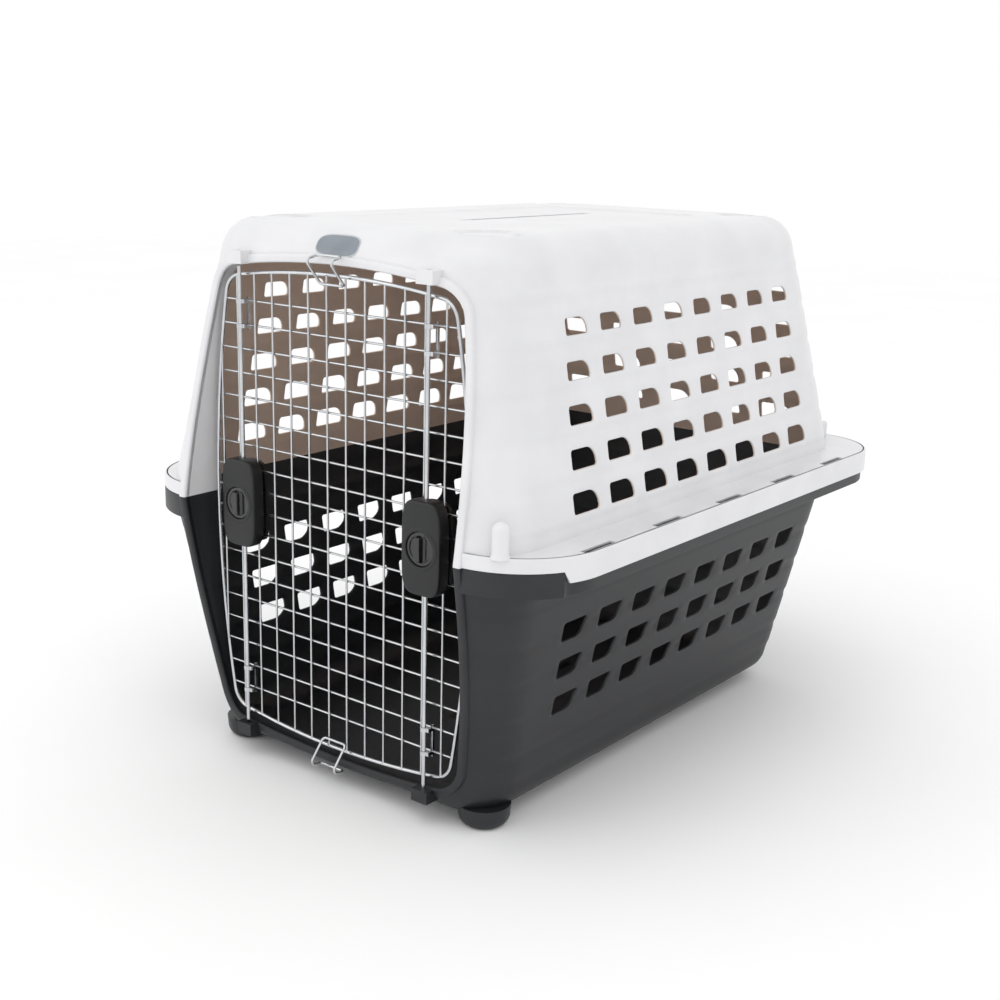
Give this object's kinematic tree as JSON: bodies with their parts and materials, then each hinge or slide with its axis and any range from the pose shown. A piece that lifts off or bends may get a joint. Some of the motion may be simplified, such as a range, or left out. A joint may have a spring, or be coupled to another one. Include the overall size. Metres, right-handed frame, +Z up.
{
  "type": "pet transport carrier",
  "caption": "Two-part vented plastic pet carrier with a barrel-shaped wire door, over-edge wire hooks and dial latches that drive rods into the shell.",
  "frame": {"origin": "on the floor under the middle of the carrier", "axes": "+Z up, -Y out of the door, +X to the right of a person facing the door"},
  "size_m": [0.56, 0.735, 0.578],
  "materials": {
    "charcoal_plastic": "satin moulded polypropylene",
    "pearl_plastic": "pearl white satin moulding",
    "label_plastic": "plain printed film",
    "chromed_wire": "bright plated wire",
    "zinc_screw": "zinc plated",
    "black_satin_plastic": "satin",
    "black_gloss_plastic": "gloss",
    "acetal_plastic": "natural acetal"
  },
  "bodies": {
    "carrier": {"bottom_shell": "charcoal_plastic", "top_shell": "pearl_plastic", "front_label": "label_plastic"},
    "door": {"door_frame_wire": "chromed_wire", "door_vertical_wires": "chromed_wire", "door_horizontal_wires": "chromed_wire", "top_hook": "chromed_wire", "bottom_hook": "chromed_wire", "rod_guides": "chromed_wire", "latch_screws": "zinc_screw", "left_latch_housing": "black_satin_plastic", "left_latch_inner_plate": "black_satin_plastic", "left_latch_back_plate": "black_satin_plastic", "right_latch_housing": "black_satin_plastic", "right_latch_inner_plate": "black_satin_plastic", "right_latch_back_plate": "black_satin_plastic"},
    "left_dial_set": {"left_dial": "black_gloss_plastic", "left_pinion": "acetal_plastic"},
    "left_upper_rod_set": {"left_upper_rod": "chromed_wire", "left_upper_rack": "acetal_plastic"},
    "left_lower_rod_set": {"left_lower_rod": "chromed_wire", "left_lower_rack": "acetal_plastic"},
    "right_dial_set": {"right_dial": "black_gloss_plastic", "right_pinion": "acetal_plastic"},
    "right_upper_rod_set": {"right_upper_rod": "chromed_wire", "right_upper_rack": "acetal_plastic"},
    "right_lower_rod_set": {"right_lower_rod": "chromed_wire", "right_lower_rack": "acetal_plastic"}
  },
  "joints": [
    {"name": "door_swing", "type": "hinge", "parent": "carrier", "child": "door", "pos_m": [0.126, -0.33525, 0.286], "axis": [0, 0, 1], "range_deg": [0, 110]},
    {"name": "left_dial_turn", "type": "hinge", "parent": "door", "child": "left_dial_set", "pos_m": [-0.126, -0.33525, 0.286], "axis": [0, -1, 0], "range_deg": [-90, 0]},
    {"name": "left_upper_rod_slide", "type": "slide", "parent": "door", "child": "left_upper_rod_set", "axis": [0, 0, 1], "range_m": [0, 0.00982]},
    {"name": "left_lower_rod_slide", "type": "slide", "parent": "door", "child": "left_lower_rod_set", "axis": [0, 0, 1], "range_m": [-0.00982, 0]},
    {"name": "right_dial_turn", "type": "hinge", "parent": "door", "child": "right_dial_set", "pos_m": [0.126, -0.33525, 0.286], "axis": [0, -1, 0], "range_deg": [0, 90]},
    {"name": "right_upper_rod_slide", "type": "slide", "parent": "door", "child": "right_upper_rod_set", "axis": [0, 0, 1], "range_m": [-0.00982, 0]},
    {"name": "right_lower_rod_slide", "type": "slide", "parent": "door", "child": "right_lower_rod_set", "axis": [0, 0, 1], "range_m": [0, 0.00982]}
  ],
  "couplings": [
    {"joint": "left_dial_turn", "follows": "left_upper_rod_slide", "rad_per_m": -160},
    {"joint": "left_lower_rod_slide", "follows": "left_upper_rod_slide", "ratio": -1},
    {"joint": "right_dial_turn", "follows": "right_upper_rod_slide", "rad_per_m": -160},
    {"joint": "right_lower_rod_slide", "follows": "right_upper_rod_slide", "ratio": -1}
  ]
}
